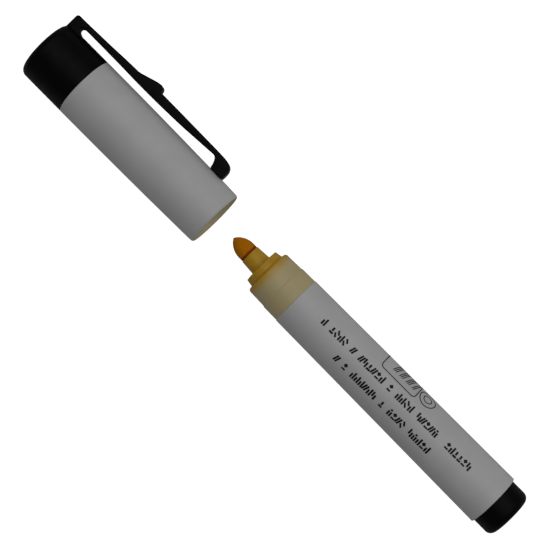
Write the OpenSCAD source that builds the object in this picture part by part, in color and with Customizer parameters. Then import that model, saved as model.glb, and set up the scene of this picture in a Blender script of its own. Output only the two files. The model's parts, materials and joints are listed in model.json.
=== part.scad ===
// Two-in-one detector pen: a fibre-tip ink pen whose cap carries a small ultraviolet light.
// +X runs along the pen from the tail plug to the lit end of the cap, the clip points to -Y and +Z is up.
// The origin is the centre of the tail plug's flat end. The cap is drawn pulled off, in line with the nib.

/* [Pen] */
// Length of the barrel between the tail plug and the collar
barrel_len = 69.6; // [60:0.1:90]
// Outer diameter of the barrel at the tail plug
barrel_rear_dia = 14.8; // [14.4:0.1:16]
// Outer diameter of the barrel at the collar
barrel_front_dia = 13.95; // [13.9:0.05:14.4]
// Inner diameter of the barrel
barrel_bore_dia = 12; // [11:0.1:12.2]
// Length of the tail plug that shows behind the barrel
tail_len = 5.9; // [4:0.1:9]
// Diameter of the part of the tail plug that shows
tail_dia = 13.6; // [12.6:0.1:13.8]

/* [Collar and nib] */
// Length of the wider rear band of the collar
collar_rear_len = 4.65; // [3:0.05:6]
// Diameter of the rear band where it meets the barrel
collar_rear_dia = 13.7; // [13.3:0.1:13.7]
// Length of the narrower front band of the collar
collar_front_len = 5.55; // [4:0.05:7]
// Diameter of the front band at the step
collar_front_dia = 13.3; // [13:0.1:13.3]
// Length of the ring in front of the collar
ring_len = 2; // [1.5:0.1:2.5]
// Diameter of the ring
ring_dia = 10.6; // [10:0.1:11]
// Length of the tapered snout that holds the nib
snout_len = 4.1; // [3:0.1:5]
// Diameter of the snout where it leaves the ring
snout_dia = 5.9; // [5.7:0.1:6.1]
// Length of the nib that shows
nib_len = 5.8; // [4:0.05:6]
// Diameter of the nib where it leaves the snout
nib_dia = 5.1; // [4.8:0.1:5.2]

/* [Cap] */
// Length of the white sleeve
sleeve_len = 47; // [46.5:0.1:47.5]
// Diameter of the sleeve at its mouth
mouth_dia = 16.05; // [15.9:0.05:16.3]
// Diameter of the sleeve where it meets the light head
sleeve_dia = 17.05; // [16.8:0.05:17.4]
// Length of the black light head behind the sleeve
head_len = 14.2; // [13.5:0.1:15]
// Distance between the cap's mouth and the nib's tip as the cap lies beside the pen
cap_gap = 6.55; // [3:0.05:20]

/* [Clip] */
// Width of the clip
clip_w = 5; // [4:0.1:6]
// Gap between the clip's foot and the sleeve
foot_gap = 0.04; // [0.03:0.01:0.3]

/* [Light and cells] */
// Number of button cells in the cap
cell_count = 3; // [3:1:3]
// Diameter of a button cell
cell_dia = 11.6; // [11:0.1:11.6]
// Thickness of a button cell
cell_h = 5.4; // [5:0.1:5.4]
// Body diameter of the LED
led_dia = 5; // [4.8:0.1:5]

/* [Hidden] */
$fn = 96;

// Fits: radial play of a sliding fit, and of two pieces pressed or snapped together
slide_fit = 0.07;
snug_fit = 0.02;
over = 1;           // how far a cutting tool runs past the face it cuts

// Places along the pen, from the tail
barrel_x = tail_len;
collar_x = barrel_x + barrel_len;
step_x = collar_x + collar_rear_len;
ring_x = step_x + collar_front_len;
snout_x = ring_x + ring_len;
nib_x = snout_x + snout_len;
tip_x = nib_x + nib_len;
mouth_x = tip_x + cap_gap;
head_x = mouth_x + sleeve_len;
end_x = head_x + head_len;

// Inside the pen
bore_r = barrel_bore_dia / 2;
spigot_r = bore_r - snug_fit;
spigot_len = 8;
core_r = 4.6;       // outside of the wrapped reservoir
wrap_t = 0.12;
core_start_x = barrel_x + spigot_len + 1;
core_end_x = step_x - 0.7;
shank_r = 2.2;
shank_dip = 3;      // how far the nib's shank goes into the reservoir

// Inside the cap, measured from its mouth
seal_r1 = collar_rear_dia / 2 + slide_fit;
seal_r2 = collar_front_dia / 2 + slide_fit;
seal_r3 = ring_dia / 2 + slide_fit;
seal_c1 = collar_rear_len + 0.12;
seal_c2 = collar_rear_len + collar_front_len + 0.1;
seal_c3 = seal_c2 + ring_len + 0.1;
nib_room_r = 3.6;
nib_room_end = 24;
liner_len = 25;
sleeve_bore_r = 7.42;
nest_r = sleeve_bore_r - snug_fit;
cup_floor_c = 25.1;
cup_floor_t = 1.2;
cup_end_c = 40.7;
spring_h = 2.5;
cells_c = cup_floor_c + cup_floor_t + spring_h;
cells_end_c = cells_c + cell_count * cell_h;
cell_room_r = cell_dia / 2 + 0.12;

// The light head, measured from the cap's mouth
ring_c = 41;
ring_t = 0.3;
skirt_r = sleeve_bore_r - 0.06;
skirt_bore_r = 6.5;
skirt_c = ring_c + ring_t;
head_r = sleeve_dia / 2;
head_seam = 0.1;
head_bore_r = 6.2;
front_wall_t = 2.6;
end_c = sleeve_len + head_len;
led_h = 8.6;
led_flange_r = 2.9;
led_flange_h = 1;
led_recess = 0.8;   // how far the LED's dome sits behind the flat end
led_c = end_c - led_recess - led_h;
led_hole_r = led_dia / 2 + 0.1;
led_pitch = 2.54;
lead_t = 0.5;

// The clip's side view: place from the mouth, and height above the axis
arm_t = 1.45;       // thickness of the arm at its root
hinge_c = sleeve_len + 8.8;
hinge_h = head_r + 2.575;
knuckle_play = 0.05;
foot_in_c = 10;     // side of the foot that faces the lit end
foot_out_c = 5.85;  // side of the foot that faces the mouth

// ---------------------------------------------------------------- shared shapes

// Turns a piece drawn up +Z so that it lies along +X, starting at x
module lay(x = 0) translate([x, 0, 0]) rotate([0, 90, 0]) children();

// Ring or rod of one diameter, from a to b along the pen
module tube(a, b, r, bore = 0) lay(a) difference() {
    cylinder(h = b - a, r = r);
    if (bore > 0) translate([0, 0, -over]) cylinder(h = b - a + 2 * over, r = bore);
}

// Points of a quarter round of radius f from angle a0 to a1 about a centre
function arc(c, f, a0, a1, n = 5) = [for (i = [0:n]) let (a = a0 + (a1 - a0) * i / n)
    [c[0] + f * cos(a), c[1] + f * sin(a)]];

// Turned solid from points [radius, place along the axis]
module turned(x, points) lay(x) rotate_extrude() polygon(points);

// ---------------------------------------------------------------- pen

rib_w = 1;
rib_count = 4;

module barrel() color("whitesmoke") {
    difference() {
        turned(barrel_x, [[0, 0], [barrel_rear_dia / 2, 0], [barrel_front_dia / 2, barrel_len], [0, barrel_len]]);
        tube(barrel_x - over, collar_x + over, bore_r);
    }
    for (i = [0:rib_count - 1]) rotate([45 + 360 / rib_count * i, 0, 0])
        translate([core_start_x + 4, core_r + slide_fit, -rib_w / 2])
            cube([barrel_len - 2 * spigot_len - 12, bore_r - core_r + 0.2, rib_w]);
}

module front_section() color("wheat") difference() {
    fillet = 0.7;
    nose_r = collar_front_dia / 2 - 0.15;
    turned(collar_x, concat(
        [[0, -spigot_len], [spigot_r - 0.4, -spigot_len], [spigot_r, 0.4 - spigot_len], [spigot_r, 0],
         [collar_rear_dia / 2, 0], [collar_rear_dia / 2 - 0.08, collar_rear_len],
         [collar_front_dia / 2, collar_rear_len]],
        arc([nose_r - fillet, collar_rear_len + collar_front_len - fillet], fillet, 0, 90),
        [[0, collar_rear_len + collar_front_len]]));
    tube(collar_x - spigot_len - over, ring_x + over, core_r + slide_fit);
}

module nib_holder() color("goldenrod") difference() {
    plug_len = ring_x - core_end_x - 0.4;
    plug_r = core_r + slide_fit - snug_fit;
    turned(ring_x, [
        [0, -plug_len], [plug_r, -plug_len], [plug_r, 0.02], [ring_dia / 2, 0.02],
        [ring_dia / 2 - 0.28, ring_len - 0.15], [ring_dia / 2 - 0.45, ring_len],
        [snout_dia / 2, ring_len], [snout_dia / 2 - 0.27, ring_len + snout_len], [0, ring_len + snout_len]]);
    tube(core_end_x, nib_x + over, shank_r + snug_fit);
    // air groove beside the nib
    translate([core_end_x, -0.3, 0]) cube([nib_x - core_end_x - 1.5, 0.6, shank_r + 0.5]);
}

module nib() color("orange") {
    r = nib_dia / 2;
    // straight at its base, then a blunt bullet
    base = 1.4;
    side = [for (a = [0:7.5:82.5]) [r * pow(cos(a), 1.5), base + (nib_len - base) * sin(a)]];
    turned(nib_x, concat(
        [[0, core_end_x - shank_dip - nib_x], [shank_r * 0.6, core_end_x - shank_dip - nib_x],
         [shank_r, core_end_x - shank_dip - nib_x + 1.5], [shank_r, 0.01], [r, 0.01]],
        side,
        [[0, nib_len]]));
}

module ink_reservoir() color("khaki") difference() {
    tube(core_start_x, core_end_x, core_r - wrap_t);
    tube(core_end_x - shank_dip - 0.2, core_end_x + over, shank_r + snug_fit);
}

module reservoir_wrap() color("lightblue")
    tube(core_start_x, core_end_x, core_r, core_r - wrap_t + 0.005);

module tail_plug() color([0.06, 0.06, 0.07]) difference() {
    fillet = 1.8;
    turned(0, concat(
        [[0, 0]],
        arc([tail_dia / 2 - fillet, fillet], fillet, -90, 0),
        [[tail_dia / 2, tail_len], [spigot_r, tail_len], [spigot_r, tail_len + spigot_len - 0.4],
         [spigot_r - 0.4, tail_len + spigot_len], [0, tail_len + spigot_len]]));
    tube(2.2, tail_len + spigot_len + over, core_r);
}

// ---------------------------------------------------------------- cap

// Outer radius of the sleeve at a place c from its mouth: a taper that fills out quickly, then runs straight
function sleeve_r(c) = mouth_dia / 2 + (sleeve_dia - mouth_dia) / 2 * (1 - pow(1 - c / sleeve_len, 2));

module cap_sleeve() color("whitesmoke") difference() {
    // rounded lip, longer than the wall is thick
    lip = 0.8;
    lip_t = 0.5;
    turned(mouth_x, concat(
        [[0, 0]],
        [for (a = [0:15:90]) [mouth_dia / 2 - lip_t * (1 - sin(a)), lip * (1 - cos(a))]],
        [for (i = [1:6]) let (c = sleeve_len * i / 6) [sleeve_r(c), c]],
        [[0, sleeve_len]]));
    tube(mouth_x - over, head_x + over, sleeve_bore_r);
}

module inner_cap() color("lemonchiffon") difference() {
    lead_in = 0.35;
    lip = 0.1;
    tube(mouth_x + lip, mouth_x + liner_len, nest_r);
    turned(mouth_x, [
        [0, -over], [seal_r1 + lead_in, -over], [seal_r1 + lead_in, lip], [seal_r1, lip + 2 * lead_in],
        [seal_r1, seal_c1], [seal_r2, seal_c1], [seal_r2, seal_c2], [seal_r3, seal_c2], [seal_r3, seal_c3],
        [nib_room_r, seal_c3 + 0.8], [nib_room_r, nib_room_end], [0, nib_room_end]]);
}

module battery_holder() color("gray") difference() {
    tube(mouth_x + cup_floor_c, mouth_x + cup_end_c, nest_r);
    tube(mouth_x + cup_floor_c + cup_floor_t, mouth_x + cup_end_c + over, cell_room_r);
    // slot for the contact strip
    translate([mouth_x + cup_floor_c + cup_floor_t, -strip_w / 2 - 0.05, 0])
        cube([cup_end_c, strip_w + 0.1, strip_out_r + 0.05]);
}

strip_w = 3;
strip_t = 0.3;
strip_out_r = cell_room_r + 0.7;

// Spring strip: foot under the spring, limb beside the cells, toe under the switch ring
module contact_strip() color("gold") {
    x0 = mouth_x + cup_floor_c + cup_floor_t + 0.02;
    x1 = mouth_x + ring_c - 0.1;
    translate([x0, -strip_w / 2, 0]) cube([strip_t, strip_w, strip_out_r]);
    translate([x0, -strip_w / 2, strip_out_r - strip_t]) cube([x1 - x0, strip_w, strip_t]);
    translate([x1 - strip_t + 0.1, -strip_w / 2, strip_out_r - strip_t])
        cube([strip_t - 0.1, strip_w, nest_r - strip_out_r + strip_t - 0.5]);
}

// Conical spring drawn as the stack of its turns, each a little smaller than the one below
module contact_spring() color("silver") {
    wire = 0.5;
    turns = 4;
    pitch = (spring_h - strip_t - wire - 0.08) / (turns - 1);
    for (i = [0:turns - 1])
        lay(mouth_x + cup_floor_c + cup_floor_t + strip_t + 0.04 + wire / 2 + pitch * i)
            rotate_extrude() translate([4.6 - 0.45 * i, 0]) circle(d = wire, $fn = 24);
    // risers that join one turn to the next
    for (i = [0:turns - 2]) rotate([70 * i, 0, 0])
        translate([mouth_x + cup_floor_c + cup_floor_t + strip_t + 0.04 + wire / 2 + pitch * i,
                   4.6 - 0.45 * i - 0.4, -wire / 4])
            cube([pitch, 0.35, wire / 2]);
}

// One button cell: a can with a slightly smaller, raised negative cap
module button_cell(i) {
    x = mouth_x + cells_c + cell_h * i;
    rim = 0.35;
    step = 0.9;
    turned(x, [
        [0, 0.03], [cell_dia / 2 - step - rim, 0.03], [cell_dia / 2 - step, 0.03 + rim],
        [cell_dia / 2 - step, 0.9], [cell_dia / 2 - rim, 0.9], [cell_dia / 2, 0.9 + rim],
        [cell_dia / 2, cell_h - rim], [cell_dia / 2 - rim, cell_h], [0, cell_h]]);
}

module button_cell_1() color("gainsboro") button_cell(0);
module button_cell_2() color("gainsboro") button_cell(1);
module button_cell_3() color("gainsboro") button_cell(2);

// ---------------------------------------------------------------- light head

module clip_housing() color([0.06, 0.06, 0.07]) difference() {
    fillet = 1.75;
    union() {
        turned(mouth_x, concat(
            [[0, skirt_c], [skirt_r, skirt_c], [skirt_r, sleeve_len + head_seam],
             [head_r - 0.15, sleeve_len + head_seam], [head_r, sleeve_len + head_seam + 0.15]],
            arc([head_r - fillet, end_c - fillet], fillet, 0, 90),
            [[0, end_c]]));
        clip_post();
    }
    tube(mouth_x + skirt_c - over, mouth_x + sleeve_len, skirt_bore_r);
    tube(mouth_x + sleeve_len - over, end_x - front_wall_t, head_bore_r);
    tube(end_x - front_wall_t - over, end_x + over, led_hole_r);
    // flared mouth in front of the LED
    turned(end_x, [[0, -0.9], [led_hole_r, -0.9], [led_hole_r + 0.9, 0], [led_hole_r + 0.9, over], [0, over]]);
    // groove for the lead that runs down to the switch ring
    translate([mouth_x + skirt_c - over, led_pitch / 2 - 0.5, 0])
        cube([sleeve_len - skirt_c + over, 1, skirt_bore_r + 0.25]);
}

// Post that carries the clip's arm, with a rounded socket for the arm's root
module clip_post() {
    corner = 0.8;
    post_end = end_c - 0.45;
    cup_r = arm_t / 2 + knuckle_play;
    lip = 0.05;
    top_h = hinge_h + cup_r + lip - 0.2;
    slot_r = 0.75;
    slot_c = hinge_c + 1.25;
    root_h = head_r - 1.8;
    difference() {
        clip_slice(clip_w) polygon(concat(
            [[hinge_c, hinge_h + cup_r + lip]],
            arc([post_end - corner, top_h - corner], corner, 90, 0),
            [[post_end, root_h], [slot_c, root_h]],
            arc([slot_c, hinge_h - 1.55], slot_r, -75, 90, 8),
            [[hinge_c, hinge_h - cup_r - lip]]));
        clip_slice(clip_w + over) translate([hinge_c, hinge_h]) circle(r = cup_r, $fn = 48);
    }
}

// A slice across the clip: its side view, drawn as [place from the mouth, height], given its width
module clip_slice(w) translate([mouth_x, 0, 0]) mirror([0, 1, 0])
    translate([0, 0, -w / 2]) linear_extrude(w) children();

module led_holder() color("dimgray") difference() {
    tube(mouth_x + sleeve_len + 0.5, end_x - front_wall_t - 0.05, head_bore_r - snug_fit);
    tube(mouth_x + led_c - 0.02, end_x, led_flange_r + 0.05);
    for (s = [-1, 1]) translate([0, s * led_pitch / 2, 0])
        tube(mouth_x + sleeve_len, mouth_x + led_c, lead_t / 2 + 0.1);
}

module uv_led() color([0.72, 0.66, 0.9]) {
    r = led_dia / 2;
    turned(mouth_x + led_c, concat(
        [[0, 0], [led_flange_r, 0], [led_flange_r, led_flange_h], [r, led_flange_h]],
        arc([0, led_h - r], r, 0, 90, 8)));
}

// One lead bends in to press on the end cell, the other runs out and down to the switch ring
module led_leads() color("silver") {
    top = mouth_x + led_c - 0.02;
    bend = mouth_x + cells_end_c + 0.08;
    for (s = [-1, 1]) translate([0, s * led_pitch / 2, 0])
        tube(s < 0 ? bend : bend + 1, top, lead_t / 2);
    translate([bend, -led_pitch / 2, -lead_t / 2]) cube([lead_t, led_pitch / 2 + 0.6, lead_t]);
    translate([bend + 1, led_pitch / 2 - lead_t / 2, -lead_t / 2]) cube([lead_t, lead_t, skirt_bore_r]);
    translate([mouth_x + skirt_c + 0.02, led_pitch / 2 - lead_t / 2, skirt_bore_r - 0.4])
        cube([bend + 1 + lead_t - mouth_x - skirt_c, lead_t, 0.35]);
}

module switch_ring() color("gold")
    tube(mouth_x + ring_c, mouth_x + ring_c + ring_t, skirt_r - 0.05, cell_dia / 2 + 0.3);

// ---------------------------------------------------------------- clip

// Side view of the arm as [place from the mouth, height above the axis]. The outer edge runs from the root to
// the thumb step, then on to the nose. The inner edge runs back from the foot to the root.
outer_root = [[54, 11.93], [49, 12.08], [45, 12.26], [41, 12.4], [39.3, 12.45]];
outer_tip = [[32, 12.7], [24, 12.64], [12, 12.52], [8.7, 12.44]];
inner_foot = [[10.1, 9], [10.44, 9.9], [10.85, 10.6], [11.35, 11], [12.3, 11.13]];
inner_arm = [[15, 10.95], [19, 10.7], [23, 10.45], [27, 10.32], [32, 10.18], [38, 10.15], [45, 10.27], [52, 10.32]];

module clip() color([0.06, 0.06, 0.07]) {
    foot_out_h = sleeve_r(foot_out_c) + foot_gap;
    foot_in_h = sleeve_r(foot_in_c) + foot_gap;
    edge = 0.25;
    thumb_r = 1.1;
    thumb_h = 14.1;
    nose_r = 1.9;
    clip_slice(clip_w) {
        polygon(concat(
            [[hinge_c, hinge_h + arm_t / 2]],
            outer_root,
            [[34.9, 13.78]],
            arc([33.2, thumb_h - thumb_r], thumb_r, 75, 180, 6),
            [[32.02, 12.8]],
            outer_tip,
            arc([8.2, 12.4 - nose_r], nose_r, 90, 165, 4),
            [[foot_out_c, 10], [foot_out_c, foot_out_h + 0.6], [foot_out_c + edge, foot_out_h + 0.1],
             [foot_out_c + 2 * edge, foot_out_h + 0.01], [foot_in_c - edge, foot_in_h], [foot_in_c, foot_in_h + edge]],
            inner_foot,
            inner_arm,
            [[hinge_c, hinge_h - arm_t / 2]]));
        translate([hinge_c, hinge_h]) circle(d = arm_t, $fn = 48);
    }
}

// ---------------------------------------------------------------- assembly

barrel();
front_section();
nib_holder();
nib();
ink_reservoir();
reservoir_wrap();
tail_plug();
cap_sleeve();
inner_cap();
battery_holder();
contact_spring();
contact_strip();
button_cell_1();
button_cell_2();
button_cell_3();
clip_housing();
led_holder();
uv_led();
led_leads();
switch_ring();
clip();
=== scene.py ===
"""Looks of a two-in-one detector pen: a fibre-tip ink pen whose cap carries a small ultraviolet light.

The pen lies along X, tail plug at the origin, nib and cap towards +X, clip towards -Y.
"""
import json
import math

import bmesh
import bpy
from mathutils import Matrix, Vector


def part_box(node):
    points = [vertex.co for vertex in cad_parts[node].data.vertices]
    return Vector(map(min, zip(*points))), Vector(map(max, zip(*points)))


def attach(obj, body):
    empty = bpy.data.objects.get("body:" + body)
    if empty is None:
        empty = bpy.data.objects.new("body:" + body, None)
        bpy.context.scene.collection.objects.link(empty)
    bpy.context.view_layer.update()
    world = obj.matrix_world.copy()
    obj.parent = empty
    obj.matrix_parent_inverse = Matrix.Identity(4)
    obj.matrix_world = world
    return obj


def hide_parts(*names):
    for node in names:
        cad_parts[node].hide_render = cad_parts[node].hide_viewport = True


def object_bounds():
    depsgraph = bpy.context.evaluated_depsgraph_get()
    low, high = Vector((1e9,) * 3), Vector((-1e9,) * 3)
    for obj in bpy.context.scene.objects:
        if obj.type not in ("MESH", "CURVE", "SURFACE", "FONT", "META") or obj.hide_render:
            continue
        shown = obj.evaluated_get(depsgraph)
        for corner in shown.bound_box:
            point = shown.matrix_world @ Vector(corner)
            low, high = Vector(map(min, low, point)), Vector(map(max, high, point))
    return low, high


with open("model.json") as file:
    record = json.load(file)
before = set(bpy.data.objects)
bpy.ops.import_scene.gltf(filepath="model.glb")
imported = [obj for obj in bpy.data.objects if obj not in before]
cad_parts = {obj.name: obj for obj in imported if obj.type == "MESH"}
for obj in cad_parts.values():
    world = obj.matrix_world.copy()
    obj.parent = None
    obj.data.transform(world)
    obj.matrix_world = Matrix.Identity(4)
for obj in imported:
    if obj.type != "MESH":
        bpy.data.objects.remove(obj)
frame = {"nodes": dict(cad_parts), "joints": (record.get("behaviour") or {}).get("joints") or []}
CAD_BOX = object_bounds()

bl_info = {
    "name": "Detector pen",
    "version": (1, 0, 0),
    "blender": (4, 5, 0),
    "location": "3D View > Sidebar > Detector Pen",
    "description": "Builds a detector pen with an ultraviolet light in its cap, piece by piece",
    "category": "Add Mesh",
}

MM = 0.001
SNUG = 0.02 * MM    # play of a pressed fit
SLIDE = 0.07 * MM   # play of a sliding fit
CLEAN = 0.1 * MM    # rounding of an edge inside the pen


# ------------------------------------------------------------------ places, read from the frame


def span(node):
    """Where a CAD piece starts and ends along the pen."""
    low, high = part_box(node)
    return low.x, high.x


def reach(node):
    """How far a turned CAD piece reaches from the pen's axis."""
    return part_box(node)[1].z


TAIL_FACE = span("tail_plug")[0]
TAIL_EDGE, SHOULDER = span("barrel")
PLUG_SPIGOT_END = span("tail_plug")[1]
COLLAR_SPIGOT_START, COLLAR_END = span("front_section")
HOLDER_START, NIB_BASE = span("nib_holder")
SHANK_START, NIB_TIP = span("nib")
SHANK = 2.2 * MM    # radius of the nib inside its holder
MOUTH, SEAM = span("cap_sleeve")
LINER_START, LINER_END = span("inner_cap")
SKIRT_START, CAP_END = span("clip_housing")
SPRING_START, SPRING_END = span("contact_spring")
LAMP_BASE, LAMP_TIP = span("uv_led")
CAP_RADIUS = reach("clip_housing")


# ------------------------------------------------------------------ sizes and colours a user may change


def length(name, description, size_mm):
    """A length property, given in millimetres."""
    return bpy.props.FloatProperty(
        name=name, description=description, default=size_mm * MM, unit="LENGTH", precision=5
    )


def linear(code):
    """Linear colour of an sRGB hex code such as #E1E1E1."""
    values = [int(code[i:i + 2], 16) / 255 for i in (1, 3, 5)]
    return [v / 12.92 if v <= 0.04045 else ((v + 0.055) / 1.055) ** 2.4 for v in values]


def colour(name, description, code):
    """A colour property, given as an sRGB hex code."""
    return bpy.props.FloatVectorProperty(
        name=name, description=description, default=linear(code), subtype="COLOR", min=0, max=1
    )


class PenSizes(bpy.types.PropertyGroup):
    """Sizes that the frame leaves open."""

    edge: length("Edge", "Rounding of the moulded edges", 0.15)
    barrel_bore: length("Barrel bore", "Inner radius of the barrel", 6)
    barrel_front: length("Barrel front", "Radius of the barrel at the collar", 6.975)
    collar_rear: length("Collar rear band", "Radius of the band next to the barrel", 6.85)
    collar_front: length("Collar front band", "Radius of the band next to the ring", 6.65)
    collar_step: length("Collar step", "Length of the rear band", 4.65)
    ring_length: length("Ring", "Length of the ring in front of the collar", 2)
    ring_radius: length("Ring radius", "Radius of the ring", 5.3)
    snout_rear: length("Snout rear", "Radius of the snout where it leaves the ring", 2.95)
    snout_front: length("Snout front", "Radius of the snout at the nib", 2.68)
    nib_radius: length("Nib radius", "Radius of the nib where it leaves the snout", 2.55)
    nib_straight: length("Nib straight", "Length of the nib before its bullet starts", 1.4)
    tail_round: length("Tail rounding", "Rounding of the tail plug's end", 1.8)
    mouth_radius: length("Cap mouth", "Outer radius of the sleeve at its mouth", 8.025)
    lip: length("Lip", "Length of the sleeve's rounded lip", 0.8)
    sleeve_bore: length("Sleeve bore", "Inner radius of the sleeve", 7.42)
    cap_round: length("Cap end rounding", "Rounding of the lit end", 1.75)
    clip_width: length("Clip width", "Width of the clip", 5)
    clip_edge: length("Clip edge", "Rounding of the clip's edges", 0.4)
    foot_gap: length("Foot gap", "Gap between the clip's foot and the sleeve", 0.008)
    wire: length("Spring wire", "Thickness of the contact spring's wire", 0.5)
    print_height: length("Print height", "Height of the printed marks", 2.05)
    print_line: length("Print line", "Thickness of the sign's lines", 0.26)
    print_film: length("Print film", "Thickness of the printed ink", 0.02)


class PenColours(bpy.types.PropertyGroup):
    """Colours of the mouldings, the nib and the print."""

    white: colour("White", "Barrel and cap sleeve", "#E1E1E1")
    black: colour("Black", "Light head, clip and tail plug", "#090809")
    cream: colour("Cream", "Collar", "#E0CE99")
    # The liner's cream is painted lighter than the plastic itself: painted light for the glow that comes
    # through the thin white sleeve into the cap.
    liner: colour("Liner", "Sealing liner in the cap", "#EFE5B4")
    amber: colour("Amber", "Ring and snout, stained by the ink", "#E2B02F")
    nib: colour("Nib", "Fibre nib, wet with ink", "#E38C00")
    nib_wet: colour("Nib base", "Wettest band at the nib's base", "#A84400")
    ink: colour("Print", "Printed marks", "#0C0C0D")


class StageSettings(bpy.types.PropertyGroup):
    """Camera and light."""

    distance: bpy.props.FloatProperty(
        name="Camera distance", description="From the camera to the pen", default=0.53, unit="LENGTH"
    )
    tilt: bpy.props.FloatProperty(
        name="Tilt", description="How far the view leans towards the tail", default=math.radians(2.6),
        unit="ROTATION"
    )
    roll: bpy.props.FloatProperty(
        name="Roll", description="Slope of the pen in the picture", default=math.radians(45.3), unit="ROTATION"
    )
    lens: bpy.props.FloatProperty(
        name="Lens", description="Focal length of the camera in millimetres", default=138.8, unit="CAMERA"
    )
    key_power: bpy.props.FloatProperty(
        name="Key light", description="Power of the softbox", default=8.15, unit="POWER"
    )
    ambient: bpy.props.FloatProperty(
        name="Ambient", description="Brightness of the light that comes from all around", default=0.079, min=0
    )


# ------------------------------------------------------------------ making meshes


def rounded(corners, steps=5):
    """Points of a closed outline. A corner is (place, radius) or (place, radius, rounding).

    A rounding becomes an arc. Each straight stretch gets a point close to both its ends, so that
    smooth shading stays flat along it.
    """
    count = len(corners)
    points = []
    for i, corner in enumerate(corners):
        here = Vector(corner[:2])
        before = Vector(corners[i - 1][:2]) - here
        after = Vector(corners[(i + 1) % count][:2]) - here
        size = corner[2] if len(corner) > 2 else 0
        if size == 0:
            points.append(here)
            continue
        before.normalize()
        after.normalize()
        half = before.angle(after) / 2
        back = size / math.tan(half)
        start, end = here + before * back, here + after * back
        middle = here + (before + after).normalized() * (size / math.sin(half))
        first, last = (start - middle).normalized(), (end - middle).normalized()
        for k in range(steps + 1):
            points.append(middle + first.slerp(last, k / steps) * size)
    return hold(points)


def hold(points, gap=0.08 * MM):
    """Adds a point close to both ends of each long straight stretch of a closed outline."""
    held = []
    for here, there in zip(points, points[1:] + points[:1]):
        held.append(here)
        stretch = there - here
        if stretch.length > 5 * gap and max(here.y, there.y) > 0:
            held.append(here + stretch.normalized() * gap)
            held.append(there - stretch.normalized() * gap)
    return held


def finish_mesh(name, mesh, material, crease=32):
    """Smooth-shades a mesh, keeps its sharp edges and makes it an object with that material."""
    mesh.shade_smooth()
    mesh.set_sharp_from_angle(angle=math.radians(crease))
    mesh.materials.clear()
    mesh.materials.append(material)
    made = bpy.data.objects.new(name, mesh)
    bpy.context.scene.collection.objects.link(made)
    return made


def lathe(name, outline, material, facets=160, crease=32):
    """Turns a closed outline of (place, radius) points about the pen's axis, with its faces outwards."""
    area = sum(a.x * b.y - b.x * a.y for a, b in zip(outline, outline[1:] + outline[:1]))
    if area > 0:
        outline = outline[::-1]
    work = bmesh.new()
    rings = []
    for point in outline:
        if point.y < 1e-7:
            rings.append([work.verts.new((point.x, 0, 0))] * facets)
            continue
        ring = []
        for k in range(facets):
            turn = math.tau * k / facets
            ring.append(work.verts.new((point.x, point.y * math.cos(turn), point.y * math.sin(turn))))
        rings.append(ring)
    for near, far in zip(rings, rings[1:] + rings[:1]):
        for k in range(facets):
            j = (k + 1) % facets
            loop = []
            for corner in (near[k], near[j], far[j], far[k]):
                if corner not in loop:
                    loop.append(corner)
            if len(loop) > 2:
                work.faces.new(loop)
    mesh = bpy.data.meshes.new(name)
    work.to_mesh(mesh)
    work.free()
    return finish_mesh(name, mesh, material, crease)


def smooth_path(points, steps=6):
    """A smooth line through points, as a Catmull-Rom curve with that many steps between two of them."""
    ends = [points[0] * 2 - points[1], *points, points[-1] * 2 - points[-2]]
    line = []
    for a, b, c, d in zip(ends, ends[1:], ends[2:], ends[3:]):
        for k in range(steps):
            t = k / steps
            line.append(0.5 * (2 * b + (c - a) * t + (2 * a - 5 * b + 4 * c - d) * t ** 2
                               + (3 * b - a - 3 * c + d) * t ** 3))
    return line + [points[-1]]


def arc(centre, radius, start, end, steps=6):
    """Points of an arc in the plane, with its angles in degrees."""
    turns = [math.radians(start + (end - start) * k / steps) for k in range(steps + 1)]
    return [Vector(centre) + radius * Vector((math.cos(t), math.sin(t))) for t in turns]


def plain_mesh(maker, name, material, crease=32):
    """Turns an object with live modifiers into a plain mesh of its own, and removes the maker."""
    bpy.context.view_layer.update()
    evaluated = maker.evaluated_get(bpy.context.evaluated_depsgraph_get())
    mesh = bpy.data.meshes.new_from_object(evaluated)
    mesh.name = name
    bpy.data.objects.remove(maker)
    return finish_mesh(name, mesh, material, crease)


def ride(piece, body, slot, *nodes):
    """Fixes a finished piece to its body and hides the CAD pieces it stands for. The slot is not used."""
    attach(piece, body)
    if nodes:
        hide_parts(*nodes)


# ------------------------------------------------------------------ node trees


def node(tree, kind, inputs=None, **settings):
    """Adds a node. An input is a value, an output socket, or a node, whose first output is then taken."""
    made = tree.nodes.new(kind)
    for name, value in settings.items():
        setattr(made, name, value)
    for key, value in (inputs or {}).items():
        socket = made.inputs[key]
        if isinstance(value, bpy.types.Node):
            value = value.outputs[0]
        if isinstance(value, bpy.types.NodeSocket):
            tree.links.new(value, socket)
        elif socket.type == "RGBA":
            socket.default_value = (*value[:3], 1)
        else:
            socket.default_value = value
    return made


def new_material(name):
    """An empty node material, its tree and the place on the object that patterns read."""
    material = bpy.data.materials.new(name)
    material.use_nodes = True
    tree = material.node_tree
    tree.nodes.clear()
    return material, tree, node(tree, "ShaderNodeTexCoord").outputs["Object"]


def finish_material(tree, tint, gloss=None, relief=None, sockets=None):
    """Ends a material with its shader.

    Gloss is (pattern, lowest roughness, highest roughness), and relief is (pattern, depth in mm).
    """
    given = {"Base Color": tint, **(sockets or {})}
    if gloss:
        pattern, low, high = gloss
        given["Roughness"] = node(tree, "ShaderNodeMapRange", {
            "Value": pattern, "From Min": 0.3, "From Max": 0.7, "To Min": low, "To Max": high})
    if relief:
        pattern, depth_mm = relief
        given["Normal"] = node(tree, "ShaderNodeBump", {"Height": pattern, "Distance": depth_mm * MM})
    node(tree, "ShaderNodeOutputMaterial", {"Surface": node(tree, "ShaderNodeBsdfPrincipled", given)})


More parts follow.
